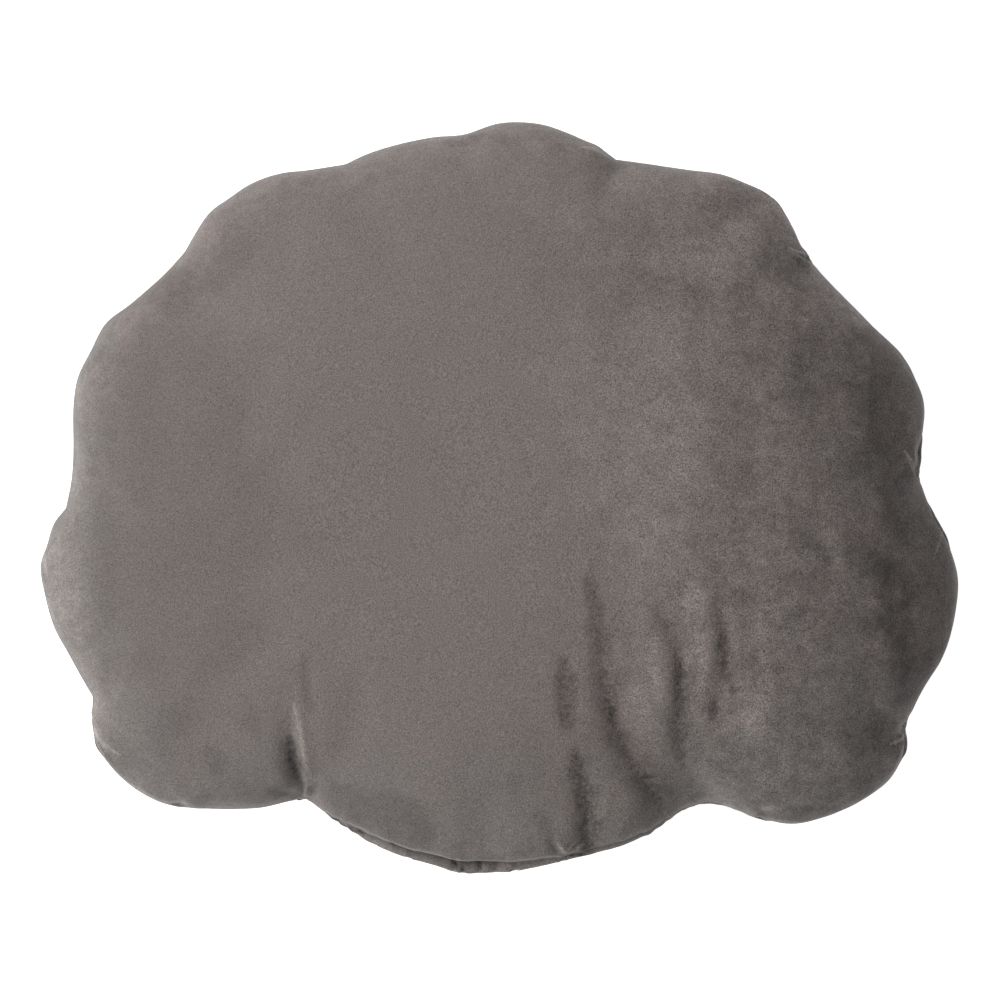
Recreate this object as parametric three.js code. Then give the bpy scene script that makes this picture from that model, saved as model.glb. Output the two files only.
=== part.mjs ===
// A stuffed velvet cushion in the form of a scallop shell, lying on its ribbed front with its plain back up.
// Millimetres. X runs across the shell, Y from its base to its crest, Z up. The origin is on the floor, under
// the middle of the cushion.
import * as THREE from "three";

// Driving dimensions
const WIDTH = 490; // across the shell, X
const LENGTH = 401; // base to crest, Y
const THICKNESS = 142; // floor to the crown of the back
const SEAM_HEIGHT = 62; // the side seam that joins back and front

// The back swells from the side seam to its crown. Its section is squarer on the left, where the filling has
// gathered, and leaner on the right. Its contours lose the rim's notches over the band outside evenWithin, a
// share of the way out to the rim, and inside that they follow the rim averaged over evenReach columns.
const BACK = { squareness: { left: 4.3, right: 2.1 }, evenWithin: 0.72, evenReach: 11, notchWeight: 0.15 };

// The front would hang this far below the seam, from a reach in from the rim, but the floor presses it flat.
const FRONT = { drop: 66, reach: 125, squareness: 2 };

// The ribs of the front fan out from this point. A channel's depth is a share of its rib's width.
const RIBS = { focus: [-4, -106], depthShare: 0.28, deepest: 19 };

// The seam is drawn in all round. Along the base lobe it rides up and shows a strip of the front below it.
const SEAM = { drawnIn: 2.5, softness: 0.06, baseInset: 7, baseRise: 46, baseReach: 60 };

// The rim, anticlockwise from the left base notch. Each lobe starts at its notch and swells through points.
const LOBES = [
  { name: "base", notch: [-103, -161], swell: [[-61, -188], [-10, -200], [34, -194], [85, -175]] },
  { name: "right foot", notch: [110, -162], swell: [[150, -174], [176, -170], [207, -151], [216, -138]] },
  { name: "lower right", notch: [216, -122], swell: [[227, -101], [242, -70], [245, -49], [237, -17]] },
  { name: "upper right", notch: [223, 13], swell: [[227, 47], [223, 61], [198, 93], [179, 112]] },
  { name: "right shoulder", notch: [164, 128], swell: [[154, 149], [145, 161], [131, 169], [81, 179]] },
  { name: "crest", notch: [62, 181], swell: [[52, 188], [19, 200], [0, 200], [-19, 195], [-69, 185]] },
  { name: "left shoulder", notch: [-83, 178], swell: [[-117, 173], [-132, 168], [-145, 160]] },
  { name: "upper left", notch: [-168, 132], swell: [[-180, 119], [-210, 94], [-226, 65], [-228, 26]] },
  { name: "lower left", notch: [-232, -5], swell: [[-242, -25], [-245, -37], [-244, -50], [-230, -84]] },
  { name: "left foot", notch: [-217, -107], swell: [[-214, -134], [-190, -159], [-173, -165], [-117, -165]] },
];

// Folds of the back panel: soft troughs from the rim inwards.
const FOLDS = [
  { name: "left base notch", from: [-103, -161], to: [-111, -108], width: 7, depth: 6 },
  { name: "right base notch", from: [110, -163], to: [98, -145], width: 13, depth: 5 },
  { name: "long sweep, foot", from: [93, -161], to: [66, -128], width: 9, depth: 4 },
  { name: "long sweep, head", from: [66, -128], to: [55, -78], width: 8, depth: 2 },
  { name: "base tuck", from: [46, -188], to: [44, -146], width: 8, depth: 4 },
  { name: "right hollow", from: [99, -140], to: [96, -80], width: 8, depth: 2.5 },
  { name: "far right hollow", from: [123, -102], to: [122, -58], width: 8, depth: 2 },
  { name: "right foot notch", from: [216, -122], to: [203, -132], width: 8, depth: 4 },
  { name: "right notch", from: [223, 13], to: [216, 26], width: 7, depth: 4 },
  { name: "right shoulder notch", from: [164, 128], to: [150, 138], width: 8, depth: 4 },
  { name: "crest notch, right", from: [62, 181], to: [62, 171], width: 8, depth: 4 },
  { name: "left foot notch", from: [-217, -107], to: [-206, -118], width: 7, depth: 3 },
];

// Facets. The columns crowd towards the notches, from 0, even, to 1.
const PER_LOBE = 12;
const CROWDING = 0.6;
const ROWS = 48;
const COLUMNS = LOBES.length * PER_LOBE;

const COLOUR = { velvet: 0x6e6764 };

const { clamp, lerp, smoothstep } = THREE.MathUtils;

// One lobe as a curve from its own notch to the next one.
function lobeCurve(lobe, next) {
  const stops = [lobe.notch, ...lobe.swell, next.notch].map(([x, y]) => new THREE.Vector3(x, y, 0));
  return new THREE.CatmullRomCurve3(stops, false, "centripetal");
}

// The rim's points, PER_LOBE to a lobe. across is the place in the lobe, -1 and 1 at its notches. fullness is
// 0 at a notch and 1 at the lobe's middle.
const rim = LOBES.flatMap((lobe, i) => {
  const curve = lobeCurve(lobe, LOBES[(i + 1) % LOBES.length]);
  return Array.from({ length: PER_LOBE }, (_, k) => {
    const crowded = (1 - Math.cos((Math.PI * k) / PER_LOBE)) / 2;
    const along = lerp(k / PER_LOBE, crowded, CROWDING);
    const { x, y } = curve.getPointAt(along);
    const across = 2 * along - 1;
    return { x, y, lobe, across, fullness: Math.sqrt(1 - across * across) };
  });
});

// The rim's distance from the middle at column i, evened out by averaging it along the rim. The notches count
// little in it.
function evenRadius(i) {
  let [sum, weights] = [0, 0];
  for (let k = -BACK.evenReach; k <= BACK.evenReach; k += 1) {
    const near = rim[(i + k + rim.length) % rim.length];
    const nearness = Math.cos((Math.PI * k) / (2 * BACK.evenReach + 2)) ** 2;
    const weight = nearness * (BACK.notchWeight + near.fullness);
    sum += weight * Math.hypot(near.x, near.y);
    weights += weight;
  }
  return sum / weights;
}

for (const [i, place] of rim.entries()) {
  place.evened = evenRadius(i) / Math.hypot(place.x, place.y);
  const rightwards = smoothstep(place.x, -WIDTH / 2, WIDTH / 2);
  place.squareness = lerp(BACK.squareness.left, BACK.squareness.right, rightwards);
}

// How far a channel between two ribs lifts the front, at this share of the way from the focus to the rim.
function channelLift(place, share) {
  const [fx, fy] = RIBS.focus;
  const first = rim.find((point) => point.lobe === place.lobe);
  const last = rim[(rim.indexOf(first) + PER_LOBE) % rim.length];
  const widest = Math.hypot(last.x - first.x, last.y - first.y);
  const width = share * Math.min(widest, Math.hypot(last.x - fx, last.y - fy));
  return Math.min(RIBS.depthShare * width, RIBS.deepest) * (1 - place.fullness);
}

// How far the folds sink the back at (x, y). A fold is deepest at its rim end and fades out at the other.
function foldDepth(x, y) {
  let sunk = 0;
  for (const { from, to, width, depth } of FOLDS) {
    const [dx, dy] = [to[0] - from[0], to[1] - from[1]];
    const along = clamp(((x - from[0]) * dx + (y - from[1]) * dy) / (dx * dx + dy * dy), 0, 1);
    const away = Math.hypot(x - from[0] - along * dx, y - from[1] - along * dy);
    sunk += depth * (1 - 0.7 * along) * Math.exp(-((away / width) ** 2));
  }
  return sunk;
}

// How much of the base lobe's raised seam a rim point takes.
const onBase = (place) => (place.lobe === LOBES[0] ? smoothstep(place.fullness, 0.2, 0.9) : 0);

// How far the seam is drawn in, fading with the share of the height away from it.
function seamInset(place, rise) {
  return lerp(SEAM.drawnIn, SEAM.baseInset, onBase(place)) * Math.exp(-((rise / SEAM.softness) ** 2));
}

// A point of the back. tilt runs from the crown, 0, to the side seam, a quarter turn.
function backPoint(place, tilt) {
  const { squareness } = place;
  const share = Math.sin(tilt) ** (2 / squareness);
  const rimwards = smoothstep(share, BACK.evenWithin, 1);
  const rise = Math.max(0, 1 - share ** squareness) ** (1 / squareness);
  const inset = Math.max(seamInset(place, rise), onBase(place) * SEAM.baseInset * rimwards);
  const out = share * lerp(place.evened, 1, rimwards) * (1 - inset / Math.hypot(place.x, place.y));
  const [x, y] = [place.x * out, place.y * out];
  const seam = SEAM_HEIGHT + onBase(place) * SEAM.baseRise * rimwards;
  return [x, y, lerp(seam, THICKNESS, rise) - foldDepth(x, y) * smoothstep(rise, 0.05, 0.4)];
}

// A point of the front. tilt runs from the side seam, a quarter turn, to where the ribs meet, a half turn.
function frontPoint(place, tilt) {
  const [fx, fy] = RIBS.focus;
  const share = Math.sin(tilt) ** (2 / FRONT.squareness);
  const flat = [lerp(fx, place.x, share), lerp(fy, place.y, share)];
  const inward = (1 - share) * Math.hypot(place.x - fx, place.y - fy);
  const rise = (1 - Math.max(0, 1 - inward / FRONT.reach) ** FRONT.squareness) ** (1 / FRONT.squareness);
  const out = 1 - seamInset(place, rise) / Math.hypot(...flat);
  const seam = SEAM_HEIGHT + onBase(place) * SEAM.baseRise * (1 - smoothstep(inward, 0, SEAM.baseReach));
  const lift = channelLift(place, share) * smoothstep(rise, 0.05, 0.5);
  return [flat[0] * out, flat[1] * out, Math.max(0, seam - FRONT.drop * rise + lift)];
}

// The cushion's skin: a sphere's closed net of faces with its points moved to the cushion's own places.
function cushionGeometry() {
  const geometry = new THREE.SphereGeometry(1, COLUMNS, ROWS);
  const position = geometry.getAttribute("position");
  for (let i = 0; i < position.count; i += 1) {
    const row = Math.floor(i / (COLUMNS + 1));
    const place = rim[(i % (COLUMNS + 1)) % COLUMNS];
    const tilt = (Math.PI * row) / ROWS;
    const point = 2 * row <= ROWS ? backPoint(place, tilt) : frontPoint(place, tilt);
    position.setXYZ(i, ...point);
  }
  return geometry;
}

// Brings the skin to the driving dimensions, with its lowest faces on the floor.
function fitted(geometry) {
  geometry.computeBoundingBox();
  const size = geometry.boundingBox.getSize(new THREE.Vector3());
  geometry.scale(WIDTH / size.x, LENGTH / size.y, THICKNESS / size.z);
  geometry.computeBoundingBox();
  const centre = geometry.boundingBox.getCenter(new THREE.Vector3());
  geometry.translate(-centre.x, -centre.y, -geometry.boundingBox.min.z);
  geometry.computeVertexNormals();
  return geometry;
}

const velvet = new THREE.MeshStandardMaterial({ color: COLOUR.velvet, roughness: 0.95, metalness: 0 });

const cushion = new THREE.Mesh(fitted(cushionGeometry()), velvet);
cushion.name = "cushion";

const shellCushion = new THREE.Group();
shellCushion.name = "shell_cushion";
shellCushion.add(cushion);

export default shellCushion;
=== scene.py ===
# Shell cushion in warm grey velvet, lying on its ribbed front with its plain back to the camera.
# Metres, Z up. X runs across the shell and Y from its base to its crest.
import math
from contextlib import contextmanager

import bmesh
import bpy
import numpy as np
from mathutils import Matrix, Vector, noise
from mathutils.bvhtree import BVHTree


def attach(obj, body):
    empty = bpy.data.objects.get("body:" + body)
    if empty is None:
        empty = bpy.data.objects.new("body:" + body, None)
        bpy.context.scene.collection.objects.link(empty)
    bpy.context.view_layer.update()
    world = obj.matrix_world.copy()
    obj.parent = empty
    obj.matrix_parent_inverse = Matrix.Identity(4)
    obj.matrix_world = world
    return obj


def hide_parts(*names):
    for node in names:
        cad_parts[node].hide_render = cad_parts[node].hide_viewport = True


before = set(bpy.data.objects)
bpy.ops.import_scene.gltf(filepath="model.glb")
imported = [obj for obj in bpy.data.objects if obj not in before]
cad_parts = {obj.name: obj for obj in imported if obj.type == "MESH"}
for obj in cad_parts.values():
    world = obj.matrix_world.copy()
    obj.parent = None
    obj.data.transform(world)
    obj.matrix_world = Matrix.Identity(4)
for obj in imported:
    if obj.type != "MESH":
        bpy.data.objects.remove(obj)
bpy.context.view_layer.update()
print("frame loaded")

mm = 0.001


# small helpers for meshes and numbers

def pointsOf(mesh):
    flat = np.empty(len(mesh.vertices) * 3)
    mesh.vertices.foreach_get("co", flat)
    return flat.reshape(-1, 3)


def normalsOf(mesh):
    flat = np.empty(len(mesh.vertices) * 3)
    mesh.vertices.foreach_get("normal", flat)
    return flat.reshape(-1, 3)


def movePoints(mesh, points):
    mesh.vertices.foreach_set("co", points.ravel())
    mesh.update()


def storeOnPoints(mesh, name, values):
    mesh.attributes.new(name, "FLOAT", "POINT").data.foreach_set("value", values)


@contextmanager
def sheetOf(mesh):
    # the mesh as a bmesh, written back to it at the end
    sheet = bmesh.new()
    sheet.from_mesh(mesh)
    yield sheet
    sheet.to_mesh(mesh)
    sheet.free()


def applyModifiers(piece):
    old = piece.data
    graph = bpy.context.evaluated_depsgraph_get()
    piece.data = bpy.data.meshes.new_from_object(piece.evaluated_get(graph))
    piece.modifiers.clear()
    bpy.data.meshes.remove(old)


def ease(value, low, high):
    # 0 below low, 1 above high and smooth between them
    share = np.clip((value - low) / (high - low), 0, 1)
    return share * share * (3 - 2 * share)


def bell(value, width):
    # 1 at 0, fading out over the width on both sides
    return np.exp(-((value / width) ** 2))


def mix(first, second, share):
    # numbers or shader wires: the first where the share is 0, the second where it is 1
    return first + (second - first) * share


def wobble(places, size, seed):
    # smooth noise from about -1 to 1, with lumps of about the given size
    shift = Vector((seed * 7.3, seed * 3.1, seed * 5.7))
    return np.array([noise.noise(Vector(place) / size + shift) for place in places])


def near(points, spot, reach):
    # 1 at a spot on the plan, fading out around it
    return bell(np.hypot(*(points[:, :2] - np.array(spot) * mm).T), reach * mm)


def roundedLine(line, times=2):
    # cuts a line's corners off, its ends staying where they are
    line = np.array(line, float) * mm
    for _ in range(times):
        first = 0.75 * line[:-1] + 0.25 * line[1:]
        second = 0.25 * line[:-1] + 0.75 * line[1:]
        cut = np.stack([first, second], 1).reshape(-1, 2)
        line = np.vstack([line[:1], cut, line[-1:]])
    return line


def closeTo(plan, line, reach):
    # the places on the plan in the box round the line
    inside = (plan > line.min(axis=0) - reach) & (plan < line.max(axis=0) + reach)
    return np.flatnonzero(inside.all(axis=1))


def besideLine(plan, line):
    # how far each place on the plan lies to the left of the line, and its share of the way along it
    steps = np.diff(line, axis=0)
    lengths = np.hypot(*steps.T)
    starts = np.concatenate([[0], np.cumsum(lengths)])
    nearest = np.full(len(plan), np.inf)
    side = np.ones(len(plan))
    share = np.zeros(len(plan))
    for i, (start, step) in enumerate(zip(line[:-1], steps)):
        away = plan - start
        along = np.clip(away @ step / lengths[i] ** 2, 0, 1)
        gap = away - along[:, None] * step
        distance = np.hypot(gap[:, 0], gap[:, 1])
        closer = distance < nearest
        nearest = np.where(closer, distance, nearest)
        cross = step[0] * away[:, 1] - step[1] * away[:, 0]
        side = np.where(closer, np.where(cross < 0, -1, 1), side)
        share = np.where(closer, (starts[i] + along * lengths[i]) / starts[-1], share)
    return nearest * side, share


# the cushion

shell = {
    # the rim at the seam's height, each lobe from its own notch, anticlockwise from the left base notch, mm
    "lobes": [
        [(-103, -161), (-85, -174), (-61.5, -188), (-35, -196), (-21, -200.5), (7, -199.5), (34, -194),
         (60, -187.5), (80, -179.5), (97, -167.5)],
        [(110, -162.5), (118.5, -163.5), (127, -167), (136.5, -170.5), (156.5, -174), (175.5, -170),
         (193, -162), (207.5, -151), (215.5, -138), (217, -130.5)],
        [(216, -122.5), (227, -101), (236.5, -86), (242, -69.5), (245, -49), (243, -34), (236.5, -16.5),
         (230, -5)],
        [(223, 13), (225.5, 31), (227, 47), (223.5, 60.5), (213.5, 78), (198, 93), (179, 112.5)],
        [(164.5, 128), (154, 149.5), (145, 161.5), (131.5, 168.5), (117, 173.5), (101, 175.5),
         (80.5, 178.5)],
        [(62.5, 181), (52, 188), (34.5, 196), (19, 200.5), (0, 200.5), (-19, 194.5), (-35, 193),
         (-53, 189.5), (-69.5, 184.5)],
        [(-82.5, 178.5), (-101.5, 175.5), (-117.5, 173.5), (-132, 168.5), (-144.5, 160.5),
         (-156.5, 151)],
        [(-168.5, 131.5), (-180, 119), (-196.5, 104.5), (-210.5, 93.5), (-218.5, 79), (-225.5, 64.5),
         (-228, 48.5), (-228, 25.5), (-229, 9.5)],
        [(-232, -5.5), (-238.5, -14), (-242, -25), (-245.5, -36.5), (-243.5, -50.5), (-238.5, -68.5),
         (-230.5, -83.5), (-223, -97)],
        [(-217.5, -106.5), (-218, -120), (-214.5, -134), (-204, -148), (-189.5, -159), (-173.5, -165),
         (-150, -166.5), (-130, -166), (-118, -163.7), (-110, -161.6)],
    ],
    "ribFocus": (-4, -106),  # where the channels of the front meet, mm
    "seamHeight": 62 * mm,
    "baseRise": 46 * mm,  # how far the seam rides up along the base lobe
    "riseBand": (0.2, 0.9),  # from where to where on the way to the lobe's middle it rides up
    "baseEdge": -150 * mm,  # the base lobe's rim lies below this Y
    "edgeFade": 12 * mm,  # above it the seam's rise fades out over this
    "crown": 142 * mm,
}
notches = [lobe[0] for lobe in shell["lobes"]]

view = {
    "photoScale": 0.535 * mm,  # the real size of one pixel of the photograph at the seam's height
    "photoSide": 1000,
    "middle": (0.3 * mm, -1.1 * mm),  # the place on the plan that the camera stands over
    "lens": 135,
    "sensor": 36,
}
viewDistance = view["photoScale"] * view["photoSide"] * view["lens"] / view["sensor"]

stuffing = {
    "weld": 0.01 * mm,  # points this near each other are made one
    "voxel": 5.2 * mm,
    "start": 0.985,  # the cover starts this much smaller than it ends
    "frames": 20,
    "cloth": {
        "quality": 5,
        "mass": 0.3,
        "tension_stiffness": 15,
        "compression_stiffness": 15,
        "shear_stiffness": 5,
        "bending_stiffness": 0.5,
        "use_pressure": True,
        "uniform_pressure_force": 4.0,
        "shrink_min": -0.02,  # less than 0 leaves the cover more cloth than its form needs
        "vertex_group_mass": "sewn",
    },
    "mostSwell": 24 * mm,
    "sewnWidth": 4 * mm,  # the cloth beside a seam or channel that can't move
    "restingBelow": 0.5 * mm,  # the cloth this near the floor can't either
    "leastSewn": 0.02,
    "keptOnBack": 0.12,  # the share of the swell that the taut back keeps
    "keptNearBase": 0.25,
    "baseBand": (20 * mm, 110 * mm),  # it grows to keptNearBase from here to there below the middle
    "keptAtSeam": 0.6,
    "seamReach": 14 * mm,
}

fitting = {  # how the rim is drawn to its target outline
    "angles": 1441,  # the first and the last are the same
    "heights": (32, 122, 6),  # of the rays that find the rim: from, to and step, mm
    "rayStart": 400 * mm,  # how far from the middle they start
    "whole": 0.98,  # the share of the way out past which the whole correction is made
    "stuffed": {"evened": 9, "inside": 0.76},  # after the cover is stuffed
    "sewn": {"evened": 5, "inside": 0.92},  # after it is sewn
    "sewnTurns": 2,
}


def onBase(points):
    # 1 along the middle of the base lobe's rim, fading to 0 at its notches
    left, right = notches[0][0] * mm, notches[1][0] * mm
    across = (2 * points[:, 0] - left - right) / (right - left)
    full = np.sqrt(np.clip(1 - across ** 2, 0, 1))
    low = ease(-points[:, 1], -shell["baseEdge"] - shell["edgeFade"], -shell["baseEdge"])
    return ease(full, *shell["riseBand"]) * low


def aboveSeam(points):
    return points[:, 2] - shell["seamHeight"] - shell["baseRise"] * onBase(points)


def channelGap(points):
    # distance in plan to the nearest channel of the front
    focus = shell["ribFocus"]
    gaps = [np.abs(besideLine(points[:, :2], np.array([focus, notch]) * mm)[0]) for notch in notches]
    return np.min(gaps, axis=0)


def seenSize(points):
    # how much larger than at the seam's height the camera sees things at each point
    return viewDistance / (viewDistance - points[:, 2] + shell["seamHeight"])


def seenPlan(points):
    # where the camera sees the points, on the plan at the seam's height
    return points[:, :2] * seenSize(points)[:, None]


def seenOutline(mesh):
    # the farthest from the middle that the camera sees the mesh at each angle
    points = pointsOf(mesh)
    points[:, :2] = seenPlan(points)
    tree = BVHTree.FromPolygons([Vector(p) for p in points], [p.vertices for p in mesh.polygons])
    reach = np.zeros(len(angles))
    for i, angle in enumerate(angles):
        out = Vector((math.cos(angle), math.sin(angle), 0))
        for height in rimHeights:
            hit = tree.ray_cast(out * fitting["rayStart"] + Vector((0, 0, height)), -out)[0]
            if hit:
                reach[i] = max(reach[i], math.hypot(hit.x, hit.y))
    return reach


def splinePoints(stops, steps=12):
    # a smooth curve through the stops
    stops = np.array([stops[0], *stops, stops[-1]], float)
    share = np.linspace(0, 1, steps, endpoint=False)[:, None]
    parts = []
    for a, b, c, d in zip(stops[:-3], stops[1:-2], stops[2:-1], stops[3:]):
        bend = 2 * a - 5 * b + 4 * c - d + share * (3 * (b - c) + d - a)
        parts.append(b + 0.5 * share * (c - a + share * bend))
    return np.vstack(parts)


def rimReach():
    # how far the rim lies from the middle at each angle
    lobes = shell["lobes"]
    following = lobes[1:] + lobes[:1]
    curve = np.vstack([splinePoints(lobe + after[:1]) for lobe, after in zip(lobes, following)]) * mm
    turns = np.arctan2(curve[:, 1], curve[:, 0])
    order = np.argsort(turns)
    return np.interp(angles, turns[order], np.hypot(*curve[order].T), period=2 * math.pi)


angles = np.linspace(-math.pi, math.pi, fitting["angles"])
rimHeights = np.arange(*fitting["heights"]) * mm
rimTarget = rimReach()


def targetAt(points):
    return np.interp(np.arctan2(points[:, 1], points[:, 0]), angles, rimTarget)


def fitOutline(mesh, evened, inside):
    # draws each part of the rim in or out, so that the camera sees it on the target. The correction is
    # averaged over a number of angles, so that narrower ripples stay. It fades out inwards, and is gone at
    # inside, a share of the way out to the rim.
    points = pointsOf(mesh)
    ratio = np.pad((rimTarget / seenOutline(mesh))[:-1], evened, "wrap")
    ratio = np.convolve(ratio, np.ones(evened) / evened, "same")[evened:-evened]
    ratio = np.append(ratio, ratio[0])
    out = np.hypot(*seenPlan(points).T) / targetAt(points)
    turn = np.arctan2(points[:, 1], points[:, 0])
    scale = mix(1, np.interp(turn, angles, ratio), ease(out, inside, fitting["whole"]))
    points[:, :2] *= scale[:, None]
    movePoints(mesh, points)


def sewnWithin(gap):
    # 1 in the cloth that is sewn down, fading to 0 beside it
    return 1 - ease(gap, 0.5 * stuffing["sewnWidth"], 1.5 * stuffing["sewnWidth"])


def stuffedCover(source):
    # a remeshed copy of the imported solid, sewn at its seam and channels, that swells under pressure
    cover = bpy.data.objects.new("stuffedVelvet", source.data.copy())
    bpy.context.scene.collection.objects.link(cover)
    with sheetOf(cover.data) as sheet:
        bmesh.ops.remove_doubles(sheet, verts=sheet.verts, dist=stuffing["weld"])
    remesh = cover.modifiers.new("evenFaces", "REMESH")
    remesh.mode = "VOXEL"
    remesh.voxel_size = stuffing["voxel"]
    applyModifiers(cover)
    rest = pointsOf(cover.data)

    above = aboveSeam(rest)
    sewn = np.maximum(sewnWithin(np.abs(above)), sewnWithin(channelGap(rest)) * (above < 0))
    sewn[rest[:, 2] < stuffing["restingBelow"]] = 1
    group = cover.vertex_groups.new(name="sewn")
    for i in np.flatnonzero(sewn > stuffing["leastSewn"]):
        group.add([int(i)], float(sewn[i]), "REPLACE")

    slack = (1 - sewn)[:, None] * (1 - stuffing["start"])
    movePoints(cover.data, rest - slack * (rest - np.array([0, 0, shell["seamHeight"]])))

    cloth = cover.modifiers.new("swell", "CLOTH")
    cloth.point_cache.frame_end = stuffing["frames"]
    cloth.collision_settings.use_collision = False
    for name, value in stuffing["cloth"].items():
        setattr(cloth.settings, name, value)
    cloth.settings.effector_weights.gravity = 0
    scene = bpy.context.scene
    for number in range(1, stuffing["frames"] + 1):
        scene.frame_set(number)
    applyModifiers(cover)
    scene.frame_set(1)
    cover.vertex_groups.clear()
    return cover, rest, pointsOf(cover.data)


def settle(cover, rest, swollen):
    # keeps the whole swell on the ribs and beside the seam, and only some of it on the taut back
    above = aboveSeam(rest)
    move = swollen - rest
    length = np.linalg.norm(move, axis=1)
    print("swell up to %.1f mm, %.1f mm on average" % (length.max() / mm, length.mean() / mm))
    move *= np.minimum(1, stuffing["mostSwell"] / np.maximum(length, 1e-9))[:, None]
    low = ease(-rest[:, 1], *stuffing["baseBand"])
    taut = mix(stuffing["keptOnBack"], stuffing["keptNearBase"], low)
    kept = np.where(above > 0, mix(taut, stuffing["keptAtSeam"], bell(above, stuffing["seamReach"])), 1)
    points = rest + move * kept[:, None]
    points[:, 2] = np.maximum(points[:, 2], 0)
    seam = shell["seamHeight"]
    upper = points[:, 2] > seam
    squeeze = (shell["crown"] - seam) / (points[:, 2].max() - seam)
    points[upper, 2] = seam + (points[upper, 2] - seam) * squeeze
    movePoints(cover.data, points)


cover, rest, swollen = stuffedCover(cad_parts["cushion"])
settle(cover, rest, swollen)
fitOutline(cover.data, **fitting["stuffed"])
print("cover stuffed:", len(cover.data.polygons), "faces")


# sewing and folds, worked into the stuffed cover

sewing = {
    "rows": (-9, -6, -3.6, -2, -0.9, 0, 0.9, 2, 3.6, 6),  # edge rows cut beside the seam, mm above it
    "rowReach": 6 * mm,  # only the faces this near a row are cut
    "rowSlack": 0.05 * mm,  # a point this near a row counts as on it
    "fineBand": 7 * mm,  # the faces this near the seam are halved
    "lineBands": (7 * mm, 2.5 * mm),  # and those this near a sharp fold or a fine stroke, in turn
    "lineFloor": -9 * mm,  # above the seam, where that ends
    "grooveDepth": 1.4 * mm,
    "grooveWidth": 1.2 * mm,
    "grooveLost": 0.4,  # the share of the groove that goes where the front shows
    "lipHeight": 0.5 * mm,
    "lipBand": (2.8 * mm, 1.4 * mm),  # its distance from the seam on both sides, and its width
    "puckerDepth": 0.8 * mm,
    "puckerLength": 11 * mm,
    "puckerReach": 10 * mm,
    "puckerRise": 0.35,  # they run up and down, as this share of the height counts in their noise
    "leastPucker": 0.02 * mm,  # where they would be flatter than this they are left out
    "longPuckers": (3.1, 1.2),  # more puckers, this many times longer and deeper
    "channelDepth": 3.0 * mm,
    "channelWidth": 3.0 * mm,
    "channelBand": (2 * mm, 12 * mm),  # below the seam, where the channels begin
    "lumps": ((75 * mm, 0.9 * mm), (30 * mm, 0.35 * mm)),  # size and height of the filling's lumps
    "lumpBand": (0, 30 * mm),
    "levelLeast": 0.2,  # cloth whose normal has a smaller level part than this is drawn in less
}

baseStrip = {  # the strip of the front that shows below the base lobe's edge
    "places": (-103, -92, -80, -67, -50, -30, -10, 7, 23, 34, 64, 97, 110),  # X, mm
    "widths": (0, 1.6, 3.2, 4.6, 5.6, 6.6, 7.2, 5.8, 3.8, 2.6, 2.2, 1.8, 0),  # mm
    "wholeFrom": 3 * mm,  # from this width on it counts as wholly shown
    "slope": 5 * mm,  # the height over which it comes out
    "softness": (1.2, 0.3 * mm, 1.8 * mm),  # of its edge: its growth with the width, the least, the most
    "heldBand": (30 * mm, 45 * mm),  # only the cloth above these heights is held back for it
    "slitDepth": 2.5 * mm,
    "slitBand": (-1.5 * mm, 1.3 * mm),  # the slit's place above the seam, and its width
    "slitClosing": (-20 * mm, 20 * mm),  # the X from where to where the slit closes
    "tucks": (-47, -24, -19, -10.5, -2, 8, 33),  # where it is gathered, X, mm
    "tuckDepth": 1.3 * mm,
    "tuckWidth": 1.5 * mm,
    "tuckBand": (-4 * mm, 3.5 * mm),
}

# The edge is a painted highlight along the seam's edge, the strip is painted light on the front's strip
# below the base edge, and the slit and the tucks are painted shade.
seamPaintedLight = {  # painted light and shade by the seam; a band is a place above the seam and a width
    "edgeBand": (0.2 * mm, 0.7 * mm),
    "edge": 0.15,
    "edgeShown": 0.25,  # more where the front shows, and still more along the base
    "edgeOnBase": 0.6,
    "stripBand": (-7 * mm, 5 * mm),
    "strip": 0.7,
    "slitBand": (-1.4 * mm, 1.2 * mm),
    "slitShown": 0.25,
    "tuck": 0.6,
}

# Where else the front stands out past the seam: a place on the rim, its reach, and how far out, mm.
frontShows = [
    {"at": (-241, -36), "reach": 24, "out": 2.6},
    {"at": (-208, -133), "reach": 14, "out": 5.0},
    {"at": (-184, -161), "reach": 13, "out": 1.8},
    {"at": (236, -14), "reach": 14, "out": 3.5},
    {"at": (220, 25), "reach": 9, "out": 4.5},
    {"at": (214, -131), "reach": 8, "out": 5.0},
    {"at": (53, 187), "reach": 9, "out": 2.2},
    {"at": (126, -168), "reach": 8, "out": 1.5},
]

folding = {
    "reach": 5,  # how many widths away from its line a fold is worked out
    "bank": 0.22,  # the height of the banks beside a trough, as a share of its depth
    "bankAt": 2.2,  # and their distance, in widths
    "fadeFrom": 0.3,  # the share of its length from which a fold fades out
    "seamBand": (1 * mm, 6 * mm),  # above the seam, where the folds begin
}

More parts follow.
